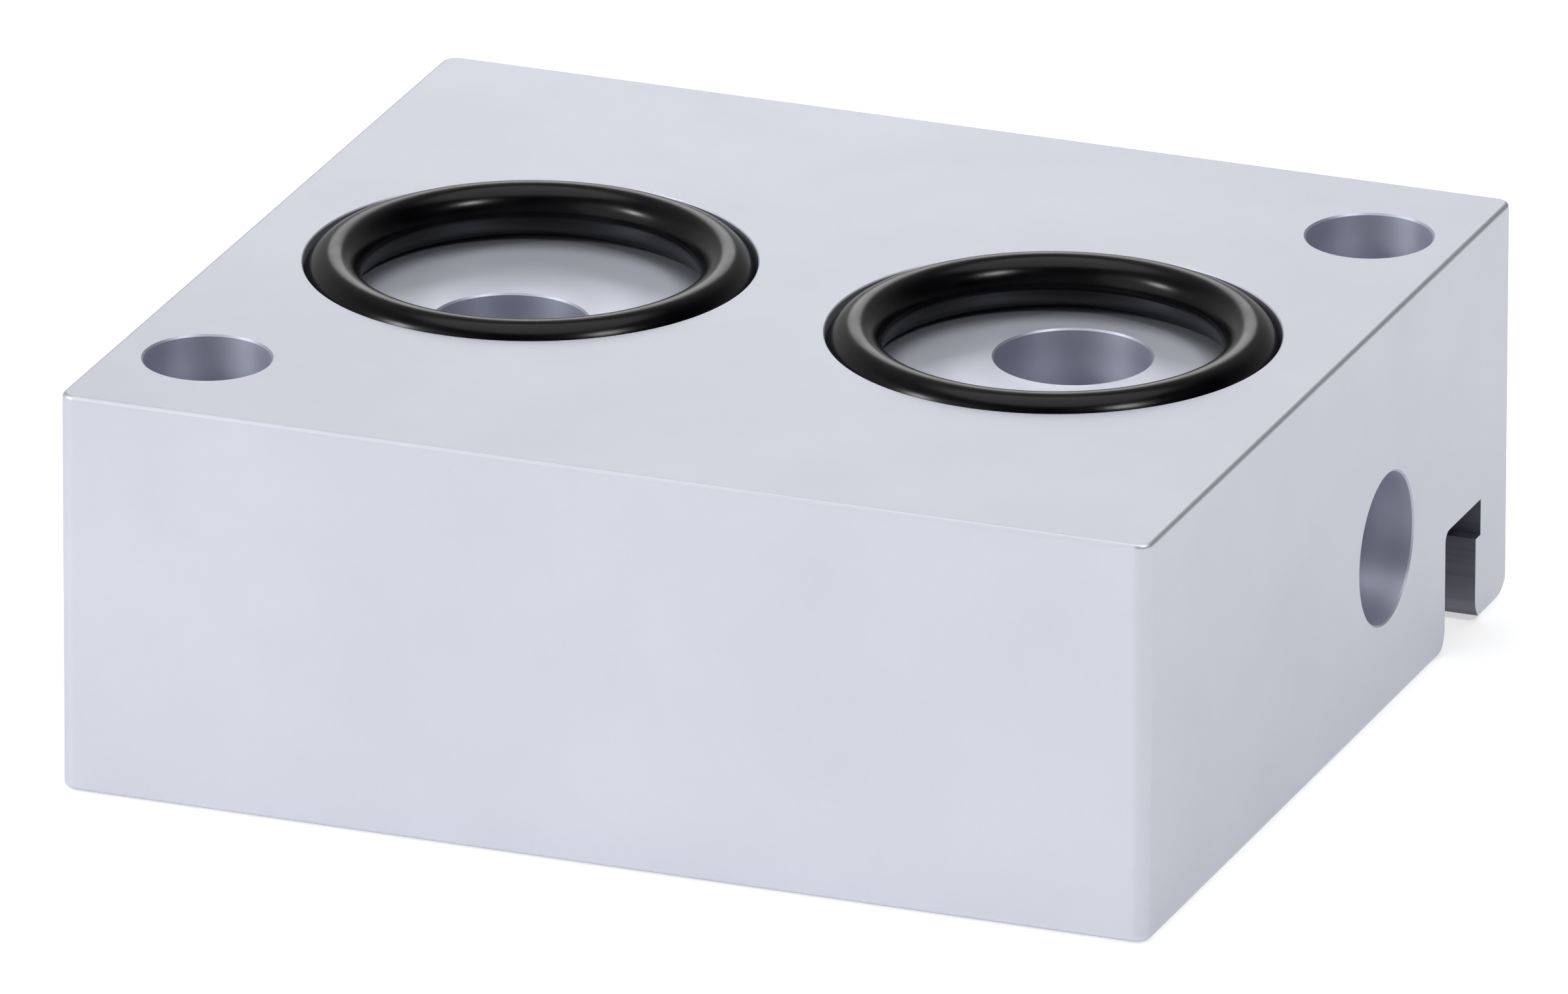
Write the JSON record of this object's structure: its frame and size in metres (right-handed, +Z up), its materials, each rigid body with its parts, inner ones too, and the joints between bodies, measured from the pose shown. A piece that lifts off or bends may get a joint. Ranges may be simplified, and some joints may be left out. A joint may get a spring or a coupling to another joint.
{
  "type": "machined porting block",
  "caption": "Low rectangular aluminium block with two O-ring sealed ports on top, cross holes in the ends, diagonal screw holes and a hook groove underneath.",
  "frame": {"origin": "centre of the block's bottom face", "axes": "+Z up through the sealed ports, +X along the long side, +Y towards the side with the hook groove"},
  "size_m": [0.0494, 0.045, 0.0184],
  "materials": {
    "aluminium": "fine bead-blasted and clear anodised",
    "seal_rubber": "smooth moulded"
  },
  "bodies": {
    "root": {"port_block": "aluminium", "seal_ring_right": "seal_rubber", "seal_ring_left": "seal_rubber"}
  },
  "joints": []
}
